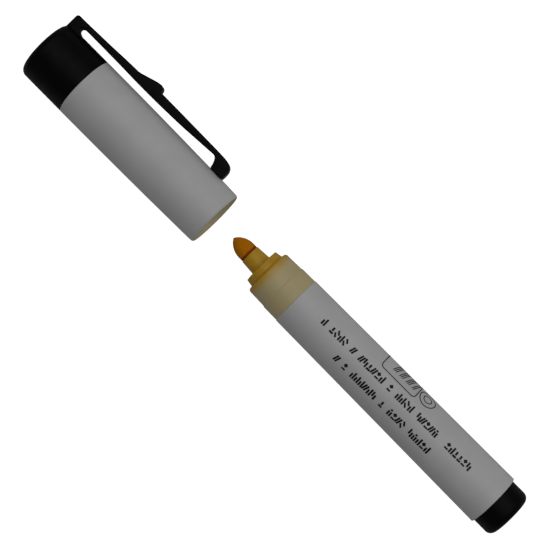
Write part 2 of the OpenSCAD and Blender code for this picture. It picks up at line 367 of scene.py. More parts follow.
def grain(tree, place, size_mm, detail=2.0, stretch=(1, 1, 1)):
    """Noise whose blobs are about size_mm across, stretched along the axes."""
    spread = node(tree, "ShaderNodeMapping", {"Vector": place, "Scale": stretch})
    return node(tree, "ShaderNodeTexNoise", {"Vector": spread, "Scale": 1 / (size_mm * MM), "Detail": detail})


def between(tree, pattern, first, second, start=0.3, end=0.7):
    """A colour that goes from the first to the second as a pattern goes from start to end."""
    amount = node(tree, "ShaderNodeMapRange", {"Value": pattern, "From Min": start, "From Max": end})
    return node(tree, "ShaderNodeMix", {"Factor": amount, 6: first, 7: second}, data_type="RGBA").outputs[2]


def creep(tree, place, pattern, ragged_mm):
    """Place along the pen with a ragged edge, which is how ink creeps into plastic and fibre."""
    along = node(tree, "ShaderNodeSeparateXYZ", {"Vector": place})
    ragged = node(tree, "ShaderNodeMath", {0: pattern, 1: ragged_mm * MM}, operation="MULTIPLY")
    return node(tree, "ShaderNodeMath", {0: along, 1: ragged}, operation="ADD")


def shaded(value, factor):
    """A colour made lighter or darker."""
    return [min(1, v * factor) for v in value]


def moulded(name, base, roughness, tone=0.03, texture_mm=0.9, depth_mm=0.0025, specular=0.5, ior=1.5):
    """Injection-moulded plastic: even colour, soft gloss that varies a little, faint orange peel."""
    material, tree, place = new_material(name)
    clouds = grain(tree, place, 7, detail=3)
    handled = grain(tree, place, 2.4, detail=4)
    peel = grain(tree, place, texture_mm, detail=1)
    tint = between(tree, clouds, shaded(base, 1 - tone), shaded(base, 1 + tone))
    finish_material(tree, tint, (handled, roughness - 0.06, roughness + 0.06), (peel, depth_mm),
                    {"Specular IOR Level": specular, "IOR": ior})
    return material


def white_polypropylene(base):
    # Polypropylene, moulded in a fine-blasted tool: a satin skin with broad dull highlights, no mirror gloss.
    return moulded("white_polypropylene", base, roughness=0.44, ior=1.49)


def black_abs(base):
    # ABS with carbon black, moulded in a polished tool: nearly black face on, a soft sheen at grazing angles.
    # The tool's polish lines are a few micrometres apart, and are drawn far coarser so that they show.
    return moulded("black_abs", base, roughness=0.5, tone=0.12, texture_mm=0.5, depth_mm=0.002, specular=0.1)


def cream_polyethylene(base, stain):
    # Natural polyethylene, moulded: a waxy satin skin, a little cloudy, yellowed by ink towards the ring.
    material, tree, place = new_material("cream_polyethylene")
    soaked = creep(tree, place, grain(tree, place, 2, detail=3), 1.2)
    clouds = grain(tree, place, 5)
    patchy = between(tree, clouds, shaded(base, 0.96), shaded(base, 1.03))
    stained = between(tree, soaked, patchy, stain, start=COLLAR_END - 2.1 * MM, end=COLLAR_END + 0.1 * MM)
    wax = grain(tree, place, 1.8)
    peel = grain(tree, place, 0.8, detail=1)
    finish_material(tree, stained, (wax, 0.36, 0.5), (peel, 0.003), {"IOR": 1.51})
    return material


def liner_polyethylene(base):
    # Soft natural polyethylene, unpolished inside the cap: matt, with broad weak highlights. Its cream colour
    # is painted lighter than the plastic, as painted light for the glow that comes through the thin sleeve.
    return moulded("liner_polyethylene", base, roughness=0.55, tone=0.05, depth_mm=0.004, ior=1.51)


def amber_acetal(base):
    # Acetal soaked yellow by the ink: deeper colour in blotches, with some patches glossier than others.
    material, tree, place = new_material("amber_acetal")
    blotch = grain(tree, place, 2.2, detail=4)
    damp = grain(tree, place, 1.2)
    peel = grain(tree, place, 0.6, detail=1)
    tint = between(tree, blotch, shaded(base, 0.88), shaded(base, 1.06))
    finish_material(tree, tint, (damp, 0.26, 0.42), (peel, 0.003), {"Specular IOR Level": 0.25, "IOR": 1.48})
    return material


def ink_felt(base, wet):
    # Pressed polyester fibre: fine streaks along the nib, matt, and darkest where the ink pools at its base.
    # The fibres are about 0.02 mm thick and are drawn at 0.2 mm so that they show.
    material, tree, place = new_material("ink_felt")
    fibre = grain(tree, place, 0.2, detail=3, stretch=(0.12, 1, 1))
    soaked = creep(tree, place, fibre, 0.4)
    streaks = between(tree, fibre, shaded(base, 0.86), shaded(base, 1.1))
    tint = between(tree, soaked, wet, streaks, start=NIB_BASE + 0.72 * MM, end=NIB_BASE + 1.02 * MM)
    finish_material(tree, tint, (fibre, 0.6, 0.85), (fibre, 0.03), {"Specular IOR Level": 0.1})
    return material


def pad_ink(base):
    # Pad-printed ink: a thin matt film, a little uneven in tone and gloss.
    return moulded("pad_ink", base, roughness=0.6, tone=0.2, texture_mm=0.25, depth_mm=0.002, specular=0.3)


def clear_epoxy():
    # Cast epoxy: water clear with a faint violet cast and a polished dome.
    material, tree, place = new_material("clear_epoxy")
    haze = grain(tree, place, 1.5)
    tint = between(tree, haze, linear("#E9E4F7"), linear("#F4F1FC"))
    finish_material(tree, tint, (haze, 0.03, 0.07), sockets={"Transmission Weight": 0.92, "IOR": 1.54})
    return material


def metal(name, code, roughness, streak=(1, 1, 1), streak_mm=0.3):
    """Bare metal with fine lines left by rolling or drawing."""
    material, tree, place = new_material(name)
    lines = grain(tree, place, streak_mm, detail=3, stretch=streak)
    base = linear(code)
    tint = between(tree, lines, shaded(base, 0.85), base)
    finish_material(tree, tint, (lines, roughness - 0.07, roughness + 0.1), (lines, 0.002), {"Metallic": 1})
    return material


def reservoir_fibre():
    # Bundled polyester fibre, soaked with ink: coarse streaks along the rod, drawn at 0.4 mm to show.
    material, tree, place = new_material("reservoir_fibre")
    fibre = grain(tree, place, 0.4, detail=4, stretch=(0.08, 1, 1))
    tint = between(tree, fibre, linear("#8F5A12"), linear("#D9A64A"))
    finish_material(tree, tint, relief=(fibre, 0.06), sockets={"Roughness": 0.85})
    return material


def reservoir_film():
    # Thin polypropylene film, heat-sealed round the fibre: clear, glossy, a little creased.
    material, tree, place = new_material("reservoir_film")
    crease = grain(tree, place, 1.5, detail=3, stretch=(0.3, 1, 1))
    tint = between(tree, crease, linear("#E8DFC4"), linear("#F5F1E4"), start=0, end=1)
    finish_material(tree, tint, relief=(crease, 0.05), sockets={"Roughness": 0.2, "Transmission Weight": 0.7})
    return material


def new_tree(name, values, start=False):
    """A geometry node tree with an input for each value, and the sockets that give them."""
    tree = bpy.data.node_groups.new(name, "GeometryNodeTree")
    if start:
        tree.interface.new_socket("Start", in_out="INPUT", socket_type="NodeSocketGeometry")
    for label, value in values.items():
        kind = {int: "Int", float: "Float", bpy.types.Material: "Material"}[type(value)]
        tree.interface.new_socket(label, in_out="INPUT", socket_type="NodeSocket" + kind)
    tree.interface.new_socket("Geometry", in_out="OUTPUT", socket_type="NodeSocketGeometry")
    return tree, node(tree, "NodeGroupInput").outputs


def grown(name, tree, given, shape, values, start=None, crease=32):
    """Ends a geometry node tree, runs it with those values and keeps its result as a plain mesh."""
    real = node(tree, "GeometryNodeRealizeInstances", {0: shape})
    painted = node(tree, "GeometryNodeSetMaterial", {0: real, "Material": given["Material"]})
    node(tree, "NodeGroupOutput", {0: painted})
    maker = bpy.data.objects.new(name + "_maker", start or bpy.data.meshes.new(name + "_start"))
    bpy.context.scene.collection.objects.link(maker)
    modifier = maker.modifiers.new("grow", "NODES")
    modifier.node_group = tree
    for item in tree.interface.items_tree:
        if item.in_out == "INPUT" and item.name in values:
            modifier[item.identifier] = values[item.name]
    return plain_mesh(maker, name, values["Material"], crease)


def laid_along(tree, shape, start):
    """Turns upright geometry so that it lies along the pen, and moves it to its place."""
    shift = node(tree, "ShaderNodeCombineXYZ", {0: start})
    return node(tree, "GeometryNodeTransform", {
        "Geometry": shape, "Translation": shift, "Rotation": (0, math.radians(90), 0)})


# ------------------------------------------------------------------ pieces


class Piece:
    """What every piece's operator shares."""

    bl_options = {"REGISTER", "UNDO"}

    def execute(self, context):
        self.make(context.scene.pen_sizes, context.scene.pen_colours)
        return {"FINISHED"}


class PEN_OT_barrel(Piece, bpy.types.Operator):
    """White tapered tube with ribs inside that centre the ink reservoir"""

    bl_idname = "pen.barrel"
    bl_label = "Barrel"

    def make(self, size, colours):
        white = white_polypropylene(colours.white)
        tube = lathe("barrel_tube", rounded([
            (TAIL_EDGE, size.barrel_bore, CLEAN),
            (TAIL_EDGE, reach("barrel"), size.edge),
            (SHOULDER, size.barrel_front, size.edge),
            (SHOULDER, size.barrel_bore, CLEAN),
        ]), white)
        ride(tube, "pen", "white_body", "barrel")
        ribs = barrel_ribs("barrel_ribs", white, size.barrel_bore)
        ride(ribs, "pen", "white_body")


def barrel_ribs(name, material, bore):
    """Four thin ribs along the bore, spaced round it by a geometry node tree."""
    low, high = span("ink_reservoir")
    buried = 0.1 * MM
    clearance = 0.13 * MM
    values = {
        "Count": 4, "Bore radius": bore + buried,
        "Rib height": bore + buried - reach("reservoir_wrap") - clearance,
        "Length": 0.8 * (high - low), "Width": 1 * MM, "Start": low + 3 * MM, "Material": material}
    tree, given = new_tree("ribs_in_a_bore", values)
    half = node(tree, "ShaderNodeMath", {0: given["Rib height"], 1: 0.5}, operation="MULTIPLY")
    middle = node(tree, "ShaderNodeMath", {0: given["Bore radius"], 1: half}, operation="SUBTRACT")
    ring = node(tree, "GeometryNodeMeshCircle", {"Vertices": given["Count"], "Radius": middle})
    block = node(tree, "ShaderNodeCombineXYZ", {0: given["Rib height"], 1: given["Width"], 2: given["Length"]})
    rib = node(tree, "GeometryNodeMeshCube", {"Size": block})
    outwards = node(tree, "FunctionNodeAlignRotationToVector",
                    {"Vector": node(tree, "GeometryNodeInputPosition")}, axis="X")
    spaced = node(tree, "GeometryNodeInstanceOnPoints",
                  {"Points": ring, "Instance": rib, "Rotation": outwards})
    centre = node(tree, "ShaderNodeMath", {0: given["Length"], 1: 0.5, 2: given["Start"]},
                  operation="MULTIPLY_ADD")
    return grown(name, tree, given, laid_along(tree, spaced, centre), values)


class PEN_OT_front_section(Piece, bpy.types.Operator):
    """Cream collar with two bands that the cap seals on, and its spigot inside the barrel"""

    bl_idname = "pen.front_section"
    bl_label = "Front section"

    def make(self, size, colours):
        bore = reach("reservoir_wrap") + SLIDE
        spigot = size.barrel_bore - SNUG
        step = SHOULDER + size.collar_step
        collar = lathe("collar", rounded([
            (COLLAR_SPIGOT_START, bore, CLEAN),
            (COLLAR_SPIGOT_START, spigot, 0.35 * MM),
            (SHOULDER, spigot),
            (SHOULDER, size.collar_rear, 0.12 * MM),
            (step - 0.25 * MM, size.collar_rear - 0.05 * MM, 0.3 * MM),
            (step + 0.05 * MM, size.collar_front, 0.3 * MM),
            (COLLAR_END, size.collar_front - 0.15 * MM, 0.7 * MM),
            (COLLAR_END, bore, CLEAN),
        ]), cream_polyethylene(colours.cream, colours.amber))
        ride(collar, "pen", "cream_collar", "front_section")


class PEN_OT_nib_holder(Piece, bpy.types.Operator):
    """Amber ring and snout that grip the nib"""

    bl_idname = "pen.nib_holder"
    bl_label = "Nib holder"

    def make(self, size, colours):
        plug = reach("reservoir_wrap") + 0.05 * MM
        bore = SHANK + SNUG
        ring_front = COLLAR_END + size.ring_length
        holder = lathe("ring_and_snout", rounded([
            (HOLDER_START, bore, CLEAN),
            (HOLDER_START, plug, 0.3 * MM),
            (COLLAR_END + SNUG, plug),
            (COLLAR_END + SNUG, size.ring_radius, 0.12 * MM),
            (ring_front, size.ring_radius - 0.3 * MM, 0.2 * MM),
            (ring_front, size.snout_rear, 0.2 * MM),
            (NIB_BASE, size.snout_front, 0.15 * MM),
            (NIB_BASE, bore, CLEAN),
        ]), amber_acetal(colours.amber))
        ride(holder, "pen", "amber_holder", "nib_holder")


class PEN_OT_nib(Piece, bpy.types.Operator):
    """Bullet-shaped fibre nib with its shank"""

    bl_idname = "pen.nib"
    bl_label = "Nib"

    def make(self, size, colours):
        straight = NIB_BASE + size.nib_straight
        outline = rounded([
            (SHANK_START, 0),
            (SHANK_START, SHANK, 0.8 * MM),
            (NIB_BASE + 0.01 * MM, SHANK),
            (NIB_BASE + 0.01 * MM, size.nib_radius, 0.25 * MM),
            (straight, size.nib_radius),
        ])[:-3]
        for degrees in range(0, 90, 5):
            turn = math.radians(degrees)
            place = straight + (NIB_TIP - straight) * math.sin(turn)
            outline.append(Vector((place, size.nib_radius * math.cos(turn) ** 1.5)))
        outline.append(Vector((NIB_TIP, 0)))
        nib = lathe("fibre_nib", outline, ink_felt(colours.nib, colours.nib_wet), crease=60)
        ride(nib, "pen", "nib_fibre", "nib")


class PEN_OT_tail_plug(Piece, bpy.types.Operator):
    """Black plug that closes the barrel's end"""

    bl_idname = "pen.tail_plug"
    bl_label = "Tail plug"

    def make(self, size, colours):
        black = black_abs(colours.black)
        bore = reach("reservoir_wrap")
        spigot = size.barrel_bore - SNUG
        outside = 6.8 * MM
        wall = TAIL_FACE + 2.2 * MM
        plug = lathe("tail_plug_body", rounded([
            (TAIL_FACE, 0),
            (TAIL_FACE, outside, size.tail_round),
            (TAIL_EDGE, outside),
            (TAIL_EDGE, spigot),
            (PLUG_SPIGOT_END, spigot, 0.35 * MM),
            (PLUG_SPIGOT_END, bore, CLEAN),
            (wall, bore, 0.3 * MM),
            (wall, 0),
        ], steps=8), black)
        ride(plug, "pen", "black_body", "tail_plug")


class PEN_OT_reservoir(Piece, bpy.types.Operator):
    """Finish of the fibre rod and its film"""

    bl_idname = "pen.reservoir"
    bl_label = "Ink reservoir"

    def make(self, size, colours):
        coat("ink_reservoir", reservoir_fibre())
        coat("reservoir_wrap", reservoir_film())


def coat(name, material):
    """Gives a CAD piece its material."""
    mesh = frame["nodes"][name].data
    mesh.materials.clear()
    mesh.materials.append(material)


def sleeve_radius(x, size):
    """Outer radius of the cap's sleeve, which fills out behind the mouth and then runs straight."""
    left = (SEAM - x) / (SEAM - MOUTH)
    return size.mouth_radius + (reach("cap_sleeve") - size.mouth_radius) * (1 - left ** 2)


class CAP_OT_sleeve(Piece, bpy.types.Operator):
    """White sleeve of the cap, which fills out a little behind its mouth"""

    bl_idname = "cap.sleeve"
    bl_label = "Cap sleeve"

    def make(self, size, colours):
        rings = 12
        lip_height = 0.5 * MM
        outer = []
        for k in range(1, rings + 1):
            x = MOUTH + (SEAM - MOUTH) * k / rings
            outer.append((x, sleeve_radius(x, size), 0))
        outer[-1] = (*outer[-1][:2], size.edge)
        lip = [(MOUTH + size.lip * (1 - math.cos(turn)), size.mouth_radius - lip_height * (1 - math.sin(turn)))
               for turn in (math.radians(degrees) for degrees in range(0, 91, 15))]
        sleeve = lathe("cap_sleeve_tube", rounded([
            (MOUTH, size.sleeve_bore, 0.05 * MM),
            *lip,
            *outer,
            (SEAM, size.sleeve_bore, CLEAN),
        ]), white_polypropylene(colours.white))
        ride(sleeve, "cap", "white_body", "cap_sleeve")


class CAP_OT_inner_cap(Piece, bpy.types.Operator):
    """Cream liner that seals on the collar and the ring"""

    bl_idname = "cap.inner_cap"
    bl_label = "Inner cap"

    def make(self, size, colours):
        rear_seat = size.collar_rear + SLIDE
        front_seat = size.collar_front + SLIDE
        ring_seat = size.ring_radius + SLIDE
        nib_room = 3.6 * MM
        lead_in = 0.38 * MM
        floor = LINER_END - 1 * MM
        step_1 = MOUTH + size.collar_step + 0.12 * MM
        step_2 = MOUTH + (COLLAR_END - SHOULDER) + 0.1 * MM
        step_3 = step_2 + size.ring_length + 0.1 * MM
        liner = lathe("inner_cap_liner", rounded([
            (LINER_START, rear_seat + lead_in, 0.05 * MM),
            (LINER_START, size.sleeve_bore - SNUG, 0.05 * MM),
            (LINER_END, size.sleeve_bore - SNUG, 0.2 * MM),
            (LINER_END, 0),
            (floor, 0),
            (floor, nib_room, 0.5 * MM),
            (step_3 + 0.8 * MM, nib_room, 0.2 * MM),
            (step_3, ring_seat, CLEAN),
            (step_2, ring_seat, CLEAN),
            (step_2, front_seat, CLEAN),
            (step_1, front_seat, CLEAN),
            (step_1, rear_seat, CLEAN),
            (LINER_START + 0.9 * MM, rear_seat, 0.2 * MM),
        ]), liner_polyethylene(colours.liner))
        ride(liner, "cap", "cream_liner", "inner_cap")


class CAP_OT_power(Piece, bpy.types.Operator):
    """Cells, their holder, the contact strip and the conical spring"""

    bl_idname = "cap.power"
    bl_label = "Cells and contacts"

    def make(self, size, colours):
        # Glass-filled nylon: grey, matt, faintly mottled by the fibre.
        grey = linear("#6A6A6E")
        nylon = moulded("grey_nylon", grey, roughness=0.55, tone=0.08, texture_mm=0.4, depth_mm=0.01)
        # Nickel-plated steel, deep drawn: bright with soft drawing marks round the can.
        nickel = metal("nickel_can", "#C9C7C2", roughness=0.22, streak=(1, 0.2, 0.2))
        coat("battery_holder", nylon)
        coat("led_holder", nylon)
        for cell in (1, 2, 3):
            coat(f"button_cell_{cell}", nickel)
        # Half-hard brass strip, stamped: warm yellow with rolling lines along it.
        coat("contact_strip", metal("brass_strip", "#C8A45A", roughness=0.3, streak=(0.1, 1, 1)))
        # Bright spring steel, drawn: fine short marks along the wire.
        steel = metal("spring_wire", "#A9A9A6", roughness=0.25, streak_mm=0.15)
        spring = conical_spring("contact_coil", steel, size.wire)
        ride(spring, "cap", "spring_steel", "contact_spring")


def conical_spring(name, material, wire):
    """Spring wound on a cone by a geometry node tree, wide on the floor and narrow under the cell."""
    wide = reach("contact_spring") - wire
    values = {
        "Turns": 4.0, "Wide radius": wide, "Narrow radius": wide - 1.6 * MM,
        "Height": SPRING_END - SPRING_START - wire, "Wire radius": wire / 2,
        "Start": SPRING_START + wire / 2, "Material": material}
    tree, given = new_tree("conical_coil", values)
    coil = node(tree, "GeometryNodeCurveSpiral", {
        "Resolution": 48, "Rotations": given["Turns"], "Start Radius": given["Wide radius"],
        "End Radius": given["Narrow radius"], "Height": given["Height"]})
    section = node(tree, "GeometryNodeCurvePrimitiveCircle",
                   {"Resolution": 12, "Radius": given["Wire radius"]})
    drawn = node(tree, "GeometryNodeCurveToMesh", {"Curve": coil, "Profile Curve": section, "Fill Caps": True})
    return grown(name, tree, given, laid_along(tree, drawn, given["Start"]), values, crease=60)


class LIGHT_OT_housing(Piece, bpy.types.Operator):
    """Black end of the cap, with its skirt in the sleeve and the lamp's opening in its face"""

    bl_idname = "light.housing"
    bl_label = "Light head housing"

    def make(self, size, colours):
        skirt = size.sleeve_bore - 0.06 * MM
        seam = SEAM + 0.1 * MM
        skirt_bore = 6.5 * MM
        head_bore = 6.2 * MM
        opening = 2.6 * MM
        flare = 0.9 * MM
        wall = CAP_END - 2.6 * MM
        housing = lathe("light_head_shell", rounded([
            (SKIRT_START, skirt_bore, CLEAN),
            (SKIRT_START, skirt, 0.2 * MM),
            (seam, skirt),
            (seam, CAP_RADIUS, size.edge),
            (CAP_END, CAP_RADIUS, size.cap_round),
            (CAP_END, opening + flare, 0.2 * MM),
            (CAP_END - flare, opening, 0.2 * MM),
            (wall, opening, CLEAN),
            (wall, head_bore, 0.2 * MM),
            (SEAM, head_bore),
            (SEAM, skirt_bore),
        ], steps=8), black_abs(colours.black))
        ride(housing, "light_head", "black_body", "clip_housing")


class LIGHT_OT_lamp(Piece, bpy.types.Operator):
    """Ultraviolet LED, the cup that holds its chip, and its contacts"""

    bl_idname = "light.lamp"
    bl_label = "Lamp"

    def make(self, size, colours):
        body = 2.5 * MM
        flange = 2.9 * MM
        flange_end = LAMP_BASE + 1 * MM
        dome = LAMP_TIP - body
        outline = rounded([
            (LAMP_BASE, 0),
            (LAMP_BASE, flange, CLEAN),
            (flange_end, flange, 0.15 * MM),
            (flange_end, body, CLEAN),
            (dome, body),
        ])[:-2]
        outline += [Vector((dome + body * math.sin(a), body * math.cos(a)))
                    for a in (math.radians(v) for v in range(0, 90, 6))]
        outline.append(Vector((LAMP_TIP, 0)))
        lamp = lathe("lamp_dome", outline, clear_epoxy(), facets=96)
        ride(lamp, "light_head", "led_epoxy", "uv_led")
        # Tinned copper and stamped brass: dull silver and warm yellow, with faint lines along them.
        tinned = metal("tinned_wire", "#B9B8B2", roughness=0.28, streak=(0.2, 1, 1))
        coat("led_leads", tinned)
        coat("switch_ring", metal("brass_ring", "#C8A45A", roughness=0.3, streak=(1, 0.3, 0.3)))
        cup_base, cup_floor, cup_rim = (LAMP_BASE + up * MM for up in (1.6, 3.0, 3.4))
        cup = lathe("lamp_cup", rounded([
            (cup_base, 0),
            (cup_base, 0.45 * MM, 0.05 * MM),
            (cup_rim, 0.75 * MM, 0.05 * MM),
            (cup_rim, 0.6 * MM, 0.03 * MM),
            (cup_floor, 0.3 * MM, 0.05 * MM),
            (cup_floor, 0),
        ], steps=3), tinned, facets=48)
        ride(cup, "light_head", "spring_steel")


class CLIP_OT_clip(Piece, bpy.types.Operator):
    """Black pocket clip with a thumb step, and the post that carries its rounded root"""

    bl_idname = "clip.clip"
    bl_label = "Clip"

    def make(self, size, colours):
        black = black_abs(colours.black)
        hinge = next(joint["pos_m"] for joint in frame["joints"] if joint["name"] == "clip_flex")
        hinge_x, hinge_h = (hinge[0] - MOUTH) / MM, -hinge[1] / MM
        arm = clip_slice("pocket_clip", size, arm_outline(size, hinge_x, hinge_h), black)
        ride(arm, "clip", "black_body", "clip")
        post = clip_slice("clip_post", size, post_outline(hinge_x, hinge_h), black)
        ride(post, "light_head", "black_body")


def side_view(points):
    """Points given in mm as (place from the mouth, height above the axis)."""
    return [Vector((x * MM, h * MM)) for x, h in points]


def arm_outline(size, hinge_x, hinge_h):
    """Side view of the clip's arm: along its outer edge to the nose, and back from the foot to the root."""
    root = 0.76
    spread = 52
    tongue = hinge_x + root * math.cos(math.radians(spread))
    front, rear = 6.1, 9.85
    foot_front, foot_rear = [(sleeve_radius(MOUTH + x * MM, size) + size.foot_gap) / MM for x in (front, rear)]
    back_and_ramp = smooth_path(side_view([
        (hinge_x - 0.2, 11.88), (53, 11.96), (49, 12.08), (45, 12.26), (41.5, 12.38), (39.4, 12.47),
        (37.2, 13.08), (34.9, 13.78), (33.9, 14.03)]))
    thumb_step = arc((33.2, 13.0), 1.1, 72, 178, 10) + arc((31.75, 13.0), 0.34, 0, -75, 4)
    tip = smooth_path(side_view([(30.5, 12.68), (24, 12.64), (16, 12.56), (11, 12.5), (8.9, 12.42)]))
    nose = smooth_path(side_view([
        (8.1, 12.33), (7.1, 12.05), (6.4, 11.5), (6.0, 10.75), (5.86, 10), (5.84, 9.2),
        (5.88, foot_front + 0.3)]))
    foot = side_view([
        (5.93, foot_front + 0.1), (front, foot_front), (rear, foot_rear), (9.97, foot_rear + 0.1)])
    inside = smooth_path(side_view([
        (10.02, foot_rear + 0.3), (10.12, 9.1), (10.42, 9.9), (10.85, 10.6), (11.4, 11), (12.3, 11.13),
        (15, 10.95), (19, 10.7), (23, 10.45), (27, 10.32), (32, 10.2), (38, 10.17), (45, 10.28), (51, 10.33),
        (hinge_x, hinge_h - root)]))
    return [
        *side_view([(tongue, hinge_h + root)]), *back_and_ramp[:-1], *side_view(thumb_step), *tip, *nose,
        *foot, *inside, *side_view([(tongue, hinge_h - root)]),
        *side_view(arc((hinge_x, hinge_h), root, -spread, spread, 5)),
    ]


def post_outline(hinge_x, hinge_h):
    """Side view of the post: rounded corner, root in the housing, end of the slot, and socket."""
    socket = 0.79
    spread = 45
    corner = 0.8
    front = hinge_x + socket * math.cos(math.radians(spread))
    slot = 56.2
    root = 7.2
    end = (CAP_END - MOUTH) / MM - 0.45
    return side_view([
        (front, 11.86), *arc((end - corner, 11.0), corner, 82, 0, 8), (end, root), (slot, root), (slot, 8.2),
        *arc((57.05, 9.55), 0.76, -85, 88, 12), (front, 10.32),
        *arc((hinge_x, hinge_h), socket, -spread, spread, 5),
    ])


def clip_slice(name, size, outline, material):
    """A slice of the clip, cut from its side view across its width, with rounded edges."""
    mesh = bpy.data.meshes.new(name)
    work = bmesh.new()
    half = size.clip_width / 2
    near = [work.verts.new((MOUTH + p.x, -p.y, -half)) for p in outline]
    far = [work.verts.new((MOUTH + p.x, -p.y, half)) for p in outline]
    work.faces.new(near)
    work.faces.new(far[::-1])
    for i in range(len(outline)):
        j = (i + 1) % len(outline)
        work.faces.new((near[j], near[i], far[i], far[j]))
    bmesh.ops.remove_doubles(work, verts=work.verts, dist=0.01 * MM)
    bmesh.ops.recalc_face_normals(work, faces=work.faces)
    work.to_mesh(mesh)
    work.free()
    maker = bpy.data.objects.new(name + "_maker", mesh)
    bpy.context.scene.collection.objects.link(maker)
    bevel = maker.modifiers.new("edges", "BEVEL")
    bevel.width = size.clip_edge
    bevel.segments = 4
    bevel.limit_method = "ANGLE"
    bevel.angle_limit = math.radians(60)
    bevel.use_clamp_overlap = True
    return plain_mesh(maker, name, material, crease=40)


# ------------------------------------------------------------------ print


class PEN_OT_print(Piece, bpy.types.Operator):
    """Two rows of generic marks and a banknote sign, pad-printed on the barrel"""

    bl_idname = "pen.print"
    bl_label = "Print"

    def make(self, size, colours):
        ink = pad_ink(colours.ink)
        rows = (
            ("print_long_row", 36, 66.6 * MM, 1.5 * MM, 3),
            ("print_short_row", 24, 58.1 * MM, -2.9 * MM, 8),
        )
        for name, count, start, side, seed in rows:
            row = printed_row(name, ink, size, count, start, side, seed)
            ride(row, "pen", "black_body")
        ride(printed_sign("print_sign", ink, size), "pen", "black_body")


def barrel_values(size, material):
    """Inputs that every print tree shares."""
    return {"Film": size.print_film, "Rear radius": reach("barrel"), "Front radius": size.barrel_front,
            "Rear place": TAIL_EDGE, "Front place": SHOULDER, "Material": material}


def wrapped_print(tree, given, flat):
    """Lays flat ink on the barrel's taper, so that across the print becomes round the barrel."""
    real = node(tree, "GeometryNodeRealizeInstances", {0: flat})
    where = node(tree, "ShaderNodeSeparateXYZ", {0: node(tree, "GeometryNodeInputPosition")}).outputs
    surface = node(tree, "ShaderNodeMapRange", {
        "Value": where[0], "From Min": given["Rear place"], "From Max": given["Front place"],
        "To Min": given["Rear radius"], "To Max": given["Front radius"]})
    lift = node(tree, "ShaderNodeMath", {0: given["Film"], 1: 0.6, 2: where[2]}, operation="MULTIPLY_ADD")
    radius = node(tree, "ShaderNodeMath", {0: surface, 1: lift}, operation="ADD")
    turn = node(tree, "ShaderNodeMath", {0: where[1], 1: surface}, operation="DIVIDE")
    top = node(tree, "ShaderNodeCombineXYZ", {0: where[0], 2: radius})
    round_barrel = node(tree, "ShaderNodeVectorRotate", {"Vector": top, "Angle": turn}, rotation_type="X_AXIS")
    placed = node(tree, "GeometryNodeSetPosition", {"Geometry": real, "Position": round_barrel})
    # Laying the ink on the barrel mirrors it, so its faces are turned outwards again.
    return node(tree, "GeometryNodeFlipFaces", {0: placed})


def bar(tree, given, wide, high, x, y, lean=0):
    """One bar of a printed mark, in parts of the print's height, leaning by that many degrees."""
    wide, high, x, y = (
        node(tree, "ShaderNodeMath", {0: given["Height"], 1: part}, operation="MULTIPLY")
        for part in (wide, high, x, y))
    slab = node(tree, "ShaderNodeCombineXYZ", {0: wide, 1: high, 2: given["Film"]})
    offset = node(tree, "ShaderNodeCombineXYZ", {0: x, 1: y})
    return node(tree, "GeometryNodeTransform", {
        "Geometry": node(tree, "GeometryNodeMeshCube", {"Size": slab, "Vertices Y": 6}),
        "Translation": offset, "Rotation": (0, 0, math.radians(lean))})


# Each mark is two or three plain bars: width, height, place along and across, and lean.
# None of them is a letter or a number.
MARKS = (
    ((0.25, 1, -0.18, 0), (0.25, 0.66, 0.17, -0.17)),
    ((0.24, 0.9, -0.16, 0, 16), (0.24, 0.9, 0.16, 0, 16)),
    ((0.42, 0.42, 0, 0.2, 45), (0.56, 0.22, 0, -0.36)),
    ((0.56, 0.26, 0, -0.37), (0.26, 0.5, 0, 0.1)),
    ((0.25, 0.66, -0.17, -0.17), (0.25, 0.66, 0.17, -0.17), (0.3, 0.22, 0, 0.36)),
    ((0.24, 0.62, -0.1, 0.24, -38), (0.24, 0.62, 0.1, -0.24, -38)),
    ((0.25, 0.72, -0.18, -0.14), (0.25, 0.72, 0.17, 0.14)),
)


def printed_row(name, material, size, count, start, side, seed):
    """A row of marks grown by a geometry node tree and wrapped on the barrel's taper."""
    values = {"Count": count, "Pitch": 1.43 * MM, "Height": size.print_height, "Start": start, "Side": side,
              "Seed": seed, **barrel_values(size, material)}
    tree, given = new_tree("row_of_marks", values)
    chest = node(tree, "GeometryNodeGeometryToInstance")
    for mark in MARKS:
        joined = node(tree, "GeometryNodeJoinGeometry")
        for shape in mark:
            tree.links.new(bar(tree, given, *shape).outputs[0], joined.inputs[0])
        tree.links.new(joined.outputs[0], chest.inputs[0])
    back = node(tree, "ShaderNodeMath", {0: given["Pitch"], 1: -1}, operation="MULTIPLY")
    line = node(tree, "GeometryNodeMeshLine", {
        "Count": given["Count"],
        "Start Location": node(tree, "ShaderNodeCombineXYZ", {0: given["Start"], 1: given["Side"]}),
        "Offset": node(tree, "ShaderNodeCombineXYZ", {0: back})})
    # Spaces between words: one mark in 7 and one in 11 is left out.
    index = node(tree, "GeometryNodeInputIndex")
    shifted = node(tree, "ShaderNodeMath", {0: index, 1: given["Seed"]}, operation="ADD")
    gaps = []
    for every, which in ((7, 4), (11, 9)):
        beat = node(tree, "ShaderNodeMath", {0: shifted, 1: every}, operation="MODULO")
        gaps.append(node(tree, "ShaderNodeMath", {0: beat, 1: which, 2: 0.5}, operation="COMPARE"))
    spaces = node(tree, "ShaderNodeMath", dict(enumerate(gaps)), operation="MAXIMUM")
    words = node(tree, "GeometryNodeDeleteGeometry", {"Geometry": line, "Selection": spaces}, domain="POINT")
    pick = node(tree, "FunctionNodeRandomValue", {4: 0, 5: len(MARKS) - 1, "Seed": given["Seed"]},
                data_type="INT")
    set_out = node(tree, "GeometryNodeInstanceOnPoints", {
        "Points": words, "Instance": chest, "Pick Instance": True, "Instance Index": pick.outputs[2]})
    return grown(name, tree, given, wrapped_print(tree, given, set_out), values)


